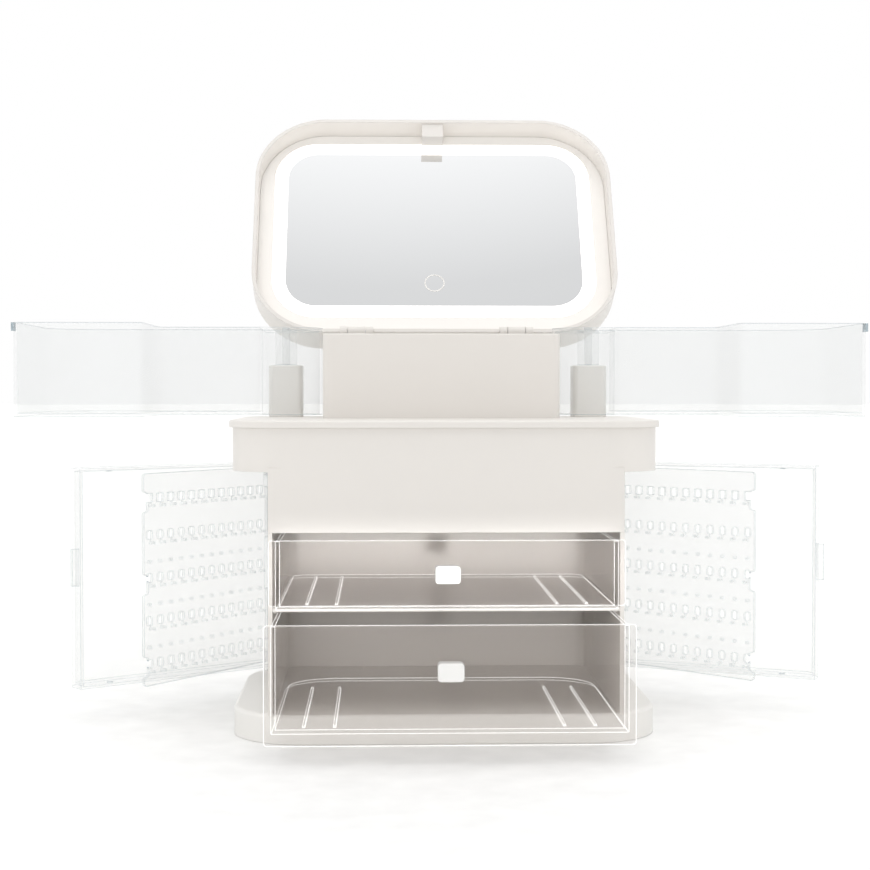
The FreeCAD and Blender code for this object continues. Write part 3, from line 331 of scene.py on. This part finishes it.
def plain_finish(name, colour, grain, roughness, metal=0.0):
    """Rubber, board, foil or plain plastic: one colour in slow patches, with a fine grain."""
    material, tree, place = start_material(name)
    cloud = add_node(tree, "ShaderNodeTexNoise", {"Scale": per_metre(grain.sink), "Detail": 3.0},
                     {"Vector": place})
    shade = add_node(tree, "ShaderNodeMix",
                     {"A": dimmed(colour, share=0.85), "B": opaque(colour)},
                     {"Factor": cloud.outputs["Fac"]}, data_type="RGBA")
    spark = add_node(tree, "ShaderNodeTexNoise", {"Scale": per_metre(grain.spark), "Detail": 3.0},
                     {"Vector": place})
    gloss = add_node(tree, "ShaderNodeMapRange",
                     {"To Min": roughness - 0.08, "To Max": roughness + 0.08},
                     {"Value": spark.outputs["Fac"]})
    relief = add_node(tree, "ShaderNodeBump", {"Strength": 0.2, "Distance": 0.08 * MILLIMETRE},
                      {"Height": spark.outputs["Fac"]})
    shader = add_node(tree, "ShaderNodeBsdfPrincipled", {"Metallic": metal},
                      {"Base Color": shade.outputs["Result"], "Roughness": gloss.outputs["Result"],
                       "Normal": relief.outputs["Normal"]})
    return end_material(material, tree, shader)


def dress(material, *names):
    """Give the named CAD pieces a finish."""
    for name in names:
        for place in NODES[name].material_slots:
            place.material = material


def new_piece(name, draw, material):
    """Object with a finish, from a function that draws into a bmesh."""
    mesh = bpy.data.meshes.new(name)
    shape = bmesh.new()
    draw(shape)
    shape.to_mesh(mesh)
    shape.free()
    mesh.materials.append(material)
    piece = bpy.data.objects.new(name, mesh)
    bpy.context.scene.collection.objects.link(piece)
    return piece


def open_lid():
    """Where the lid stands at rest, from its place when closed with the hinge at the origin."""
    hinge = next(joint for joint in frame["joints"] if joint["name"] == "lid_hinge")
    closing = math.radians(hinge["range_deg"][1])
    return Matrix.Translation(hinge["pos_m"]) @ Matrix.Rotation(-closing, 4, "X")


def sensor_place():
    """How far the touch ring is from the hinge along the mirror, and the mirror face's height."""
    flat = open_lid().inverted()
    corners = [flat @ vert.co for vert in NODES["touch_sensor"].data.vertices]
    along = -sum(point.y for point in corners) / len(corners)
    face = min((flat @ vert.co).z for vert in NODES["mirror"].data.vertices)
    return along, face


class CASE_OT_mouldings(Operator):
    """Finish the opaque mouldings: base, cabinet, deck, box and posts"""

    bl_idname = "cosmetic_case.mouldings"
    bl_label = "Mouldings"

    def execute(self, context):
        finish, grain = context.scene.case_finish, context.scene.case_grain
        cream = satin_abs("cream_satin_abs", finish.cream, grain, roughness=0.36)
        pale_and_post_light = satin_abs("pale_abs_with_painted_post_light", finish.pale_and_post_light, grain, roughness=0.32)
        dress(cream, "cabinet", "drawer_shelf", "deck", "deck_floor", "central_box")
        # The base takes this paler plastic as its own colour; on the tray posts the paler colour is
        # painted light.
        dress(pale_and_post_light, "base", "bottom_plate", "left_tray_post", "right_tray_post")
        return {"FINISHED"}


class CASE_OT_fasteners(Operator):
    """Finish the screws, rods, hinge pins, latch spring and feet"""

    bl_idname = "cosmetic_case.fasteners"
    bl_label = "Fasteners and feet"

    def execute(self, context):
        finish, grain = context.scene.case_finish, context.scene.case_grain
        steel = plated_steel("zinc_plated_steel", finish.zinc, grain)
        rubber = plain_finish("moulded_rubber", finish.rubber, grain, roughness=0.75)
        dress(steel, "bottom_screws", "deck_screws", "door_rods", "lid_hinge_pins", "latch_spring")
        dress(rubber, "rubber_feet")
        return {"FINISHED"}


class CASE_OT_trays(Operator):
    """Finish the swing trays, their pivot pins and their catches"""

    bl_idname = "cosmetic_case.trays"
    bl_label = "Swing trays"

    def execute(self, context):
        finish, grain = context.scene.case_finish, context.scene.case_grain
        clear = polished_acrylic("clear_tray_acrylic", finish.clear, finish.edge, grain,
                                 haze_share=0.115, slant_share=0.25, edge_share=0.8)
        catch = plain_finish("blue_grey_catch_abs", finish.catch, grain, roughness=0.4)
        dress(clear, "left_tray", "right_tray", "tray_pivot_pins")
        dress(catch, "left_tray_catch", "right_tray_catch")
        return {"FINISHED"}


class CASE_OT_doors(Operator):
    """Finish the side doors and their hook plates"""

    bl_idname = "cosmetic_case.doors"
    bl_label = "Doors and hook plates"

    def execute(self, context):
        finish, grain = context.scene.case_finish, context.scene.case_grain
        clear = polished_acrylic("clear_door_acrylic", finish.clear, finish.edge, grain,
                                 haze_share=0.1, slant_share=0.4, edge_share=0.75)
        dress(clear, "left_door", "right_door", "left_hook_plate", "right_hook_plate")
        return {"FINISHED"}


class CASE_OT_drawers(Operator):
    """Finish the two drawers and their pulls"""

    bl_idname = "cosmetic_case.drawers"
    bl_label = "Drawers"

    def execute(self, context):
        finish, grain = context.scene.case_finish, context.scene.case_grain
        # The drawers' edges carry a painted highlight: a near-white edge colour and a glow of their
        # own.
        # The drawers' haze colour is darker than the plastic's own faint tint, as painted shade of the
        # cavity behind.
        clear = polished_acrylic("clear_drawer_acrylic", finish.drawer_tint_and_painted_shade, finish.drawer_edge_highlight, grain,
                                 haze_share=0.1, slant_share=0.35, edge_share=1.0, painted_edge_glow=0.95)
        gloss = satin_abs("gloss_pull_abs", finish.pull, grain, roughness=0.18)
        dress(clear, "upper_drawer", "lower_drawer")
        dress(gloss, "upper_drawer_pull", "lower_drawer_pull")
        return {"FINISHED"}


class CASE_OT_lid(Operator):
    """Finish the lid's shell and frame, and the latch's housing and button"""

    bl_idname = "cosmetic_case.lid"
    bl_label = "Lid and latch"

    def execute(self, context):
        finish, grain = context.scene.case_finish, context.scene.case_grain
        cream = satin_abs("cream_lid_abs", finish.cream, grain, roughness=0.34)
        warm = satin_abs("warm_frame_abs", finish.frame_white, grain, roughness=0.42)
        dress(cream, "lid_shell", "latch_housing", "latch_button")
        dress(warm, "lid_frame")
        return {"FINISHED"}


class CASE_OT_mirror(Operator):
    """Finish the mirror and its light, and print the ring over the touch sensor"""

    bl_idname = "cosmetic_case.mirror"
    bl_label = "Mirror and light"

    def execute(self, context):
        finish, grain = context.scene.case_finish, context.scene.case_grain
        dress(silvered_glass("silvered_glass", finish.silver, grain), "mirror")
        lit = lit_opal_acrylic("lit_opal_acrylic", finish.lamp, finish.lamp_strength, grain)
        dress(lit, "light_diffuser", "light_strip")
        dress(plain_finish("sensor_pad", finish.sensor, grain, roughness=0.5), "touch_sensor")
        print_white = satin_abs("printed_white", finish.frame_white, grain, roughness=0.5)
        along, face = sensor_place()

        def ring(shape):
            rims = set()
            for radius in (grain.ring_radius, grain.ring_radius - grain.ring_width):
                circle = bmesh.ops.create_circle(shape, segments=RING_SEGMENTS, radius=radius)
                rims.update(edge for vert in circle["verts"] for edge in vert.link_edges)
            band = bmesh.ops.bridge_loops(shape, edges=list(rims))["faces"]
            raised = bmesh.ops.extrude_face_region(shape, geom=band)["geom"]
            verts = [part for part in raised if isinstance(part, bmesh.types.BMVert)]
            bmesh.ops.translate(shape, verts=verts, vec=(0, 0, -grain.ring_thick))
            bmesh.ops.recalc_face_normals(shape, faces=shape.faces[:])
            bmesh.ops.transform(shape, matrix=open_lid() @ Matrix.Translation((0, -along, face)),
                                verts=shape.verts[:])

        touch_ring = new_piece("touch_ring", ring, print_white)
        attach(touch_ring, "lid")
        return {"FINISHED"}


class CASE_OT_electrics(Operator):
    """Finish the battery, control board and charging socket in the lid"""

    bl_idname = "cosmetic_case.electrics"
    bl_label = "Electrics"

    def execute(self, context):
        finish, grain = context.scene.case_finish, context.scene.case_grain
        foil = plain_finish("battery_foil", finish.foil, grain, roughness=0.3, metal=1.0)
        mask = plain_finish("green_solder_mask", finish.mask, grain, roughness=0.45)
        dress(foil, "battery")
        dress(mask, "control_board")
        dress(plated_steel("tinned_steel", finish.zinc, grain), "charging_socket")
        return {"FINISHED"}


def lay_floor(setting, grain):
    """Pale board under the case, just below the feet."""
    def disc(shape):
        bmesh.ops.create_circle(shape, cap_ends=True, segments=FLOOR_SEGMENTS,
                                radius=setting.floor_reach,
                                matrix=Matrix.Translation((0, 0, -setting.floor_drop)))

    board = plain_finish("pale_board", setting.floor_colour, grain, roughness=0.7)
    floor = new_piece("floor", disc, board)


def white_surround(setting):
    """World that looks white to the eye and in gloss, and lights the case more softly."""
    world = bpy.data.worlds.new("white_surround")
    world.use_nodes = True
    tree = world.node_tree
    tree.nodes.clear()
    direction = add_node(tree, "ShaderNodeTexCoord").outputs["Generated"]
    height = add_node(tree, "ShaderNodeSeparateXYZ", links={"Vector": direction})
    ramp = add_node(tree, "ShaderNodeValToRGB", links={"Fac": height.outputs["Z"]})
    stops = ramp.color_ramp.elements
    while len(stops) < len(CEILING):
        stops.new(0.5)
    for stop, (position, value) in zip(stops, CEILING):
        stop.position = position
        stop.color = opaque([value] * 3)
    path = add_node(tree, "ShaderNodeLightPath")
    seen = add_node(tree, "ShaderNodeMath",
                    links={0: path.outputs["Is Camera Ray"], 1: path.outputs["Is Glossy Ray"]},
                    operation="MAXIMUM")
    strength = add_node(tree, "ShaderNodeMapRange",
                        {"To Min": setting.ambient_strength, "To Max": setting.backdrop_strength},
                        {"Value": seen.outputs["Value"]})
    glow = add_node(tree, "ShaderNodeBackground",
                    links={"Color": ramp.outputs["Color"], "Strength": strength.outputs["Result"]})
    add_node(tree, "ShaderNodeOutputWorld", links={"Surface": glow.outputs["Background"]})
    return world


def hang_light(name, kind, energy, rotation):
    """Light that leaves no image of itself in gloss or in the mirror."""
    light = bpy.data.lights.new(name, kind)
    light.energy = energy
    lamp = bpy.data.objects.new(name, light)
    lamp.rotation_euler = rotation
    lamp.visible_glossy = False
    bpy.context.scene.collection.objects.link(lamp)
    return lamp


def hang_lights(setting):
    """Soft lights all round, and a narrow light into each drawer."""
    # Tilt from straight down, turn about the vertical and spread in degrees, then the strength.
    suns = {"overhead_light": (8, 0, 70, setting.overhead_strength),
            "front_light": (78, -6, 24, setting.front_strength),
            "left_light": (72, -90, 40, setting.side_strength),
            "right_light": (72, 90, 40, setting.side_strength),
            "rear_light": (62, 170, 60, setting.rear_strength)}
    for name, (tilt, turn, spread, strength) in suns.items():
        sun = hang_light(name, "SUN", strength, (math.radians(tilt), 0, math.radians(turn)))
        sun.data.angle = math.radians(spread)

    # Height of the beam's middle and the beam's own height in millimetres, then the power.
    beams = {"upper_drawer_light": (118, 45, setting.upper_power),
             "lower_drawer_light": (50, 75, setting.lower_power)}
    for name, (middle, high, power) in beams.items():
        beam = hang_light(name, "AREA", power, (math.pi / 2, 0, 0))
        beam.location = (0, -setting.beam_reach, middle * MILLIMETRE)
        beam.visible_camera = False
        beam.data.shape = "RECTANGLE"
        beam.data.size = setting.beam_wide
        beam.data.size_y = high * MILLIMETRE
        beam.data.spread = setting.beam_spread


def place_camera(setting):
    """Camera in front of the case, a little to its left."""
    lens = bpy.data.cameras.new("camera")
    lens.sensor_width = FILM_WIDTH
    lens.lens = setting.focal_pixels / IMAGE_SIDE * lens.sensor_width
    camera = bpy.data.objects.new("camera", lens)
    camera.location = setting.camera_place
    camera.rotation_euler = (math.pi / 2 - setting.camera_pitch, 0, -setting.camera_yaw)
    bpy.context.scene.collection.objects.link(camera)
    return camera


class CASE_OT_stage(Operator):
    """Make the floor, the soft light and the camera"""

    bl_idname = "cosmetic_case.stage"
    bl_label = "Stage"

    def execute(self, context):
        scene, setting = context.scene, context.scene.case_stage
        scene.view_settings.view_transform = "Standard"
        scene.cycles.transparent_max_bounces = CLEAR_WALLS
        lay_floor(setting, scene.case_grain)
        scene.world = white_surround(setting)
        hang_lights(setting)
        scene.camera = place_camera(setting)
        return {"FINISHED"}


OPERATORS = (CASE_OT_mouldings, CASE_OT_fasteners, CASE_OT_trays, CASE_OT_doors, CASE_OT_drawers,
             CASE_OT_lid, CASE_OT_mirror, CASE_OT_electrics, CASE_OT_stage)


class CASE_PT_panel(Panel):
    """Sidebar panel with the finishes and the steps"""

    bl_idname = "CASE_PT_panel"
    bl_label = "Cosmetic case"
    bl_space_type = "VIEW_3D"
    bl_region_type = "UI"
    bl_category = "Cosmetic case"

    def draw(self, context):
        for kind in OPERATORS:
            self.layout.operator(kind.bl_idname)
        for group in (context.scene.case_finish, context.scene.case_grain, context.scene.case_stage):
            box = self.layout.box()
            for name in group.__annotations__:
                box.prop(group, name)


CLASSES = (CaseFinish, CaseGrain, StageSetting, *OPERATORS, CASE_PT_panel)


def register():
    for kind in CLASSES:
        bpy.utils.register_class(kind)
    bpy.types.Scene.case_finish = PointerProperty(type=CaseFinish)
    bpy.types.Scene.case_grain = PointerProperty(type=CaseGrain)
    bpy.types.Scene.case_stage = PointerProperty(type=StageSetting)


def unregister():
    del bpy.types.Scene.case_stage
    del bpy.types.Scene.case_grain
    del bpy.types.Scene.case_finish
    for kind in reversed(CLASSES):
        bpy.utils.unregister_class(kind)


def main():
    register()
    bpy.ops.cosmetic_case.mouldings()
    bpy.ops.cosmetic_case.fasteners()
    bpy.ops.cosmetic_case.trays()
    bpy.ops.cosmetic_case.doors()
    bpy.ops.cosmetic_case.drawers()
    bpy.ops.cosmetic_case.lid()
    bpy.ops.cosmetic_case.mirror()
    bpy.ops.cosmetic_case.electrics()
    bpy.ops.cosmetic_case.stage()


if __name__ == "__main__":
    main()
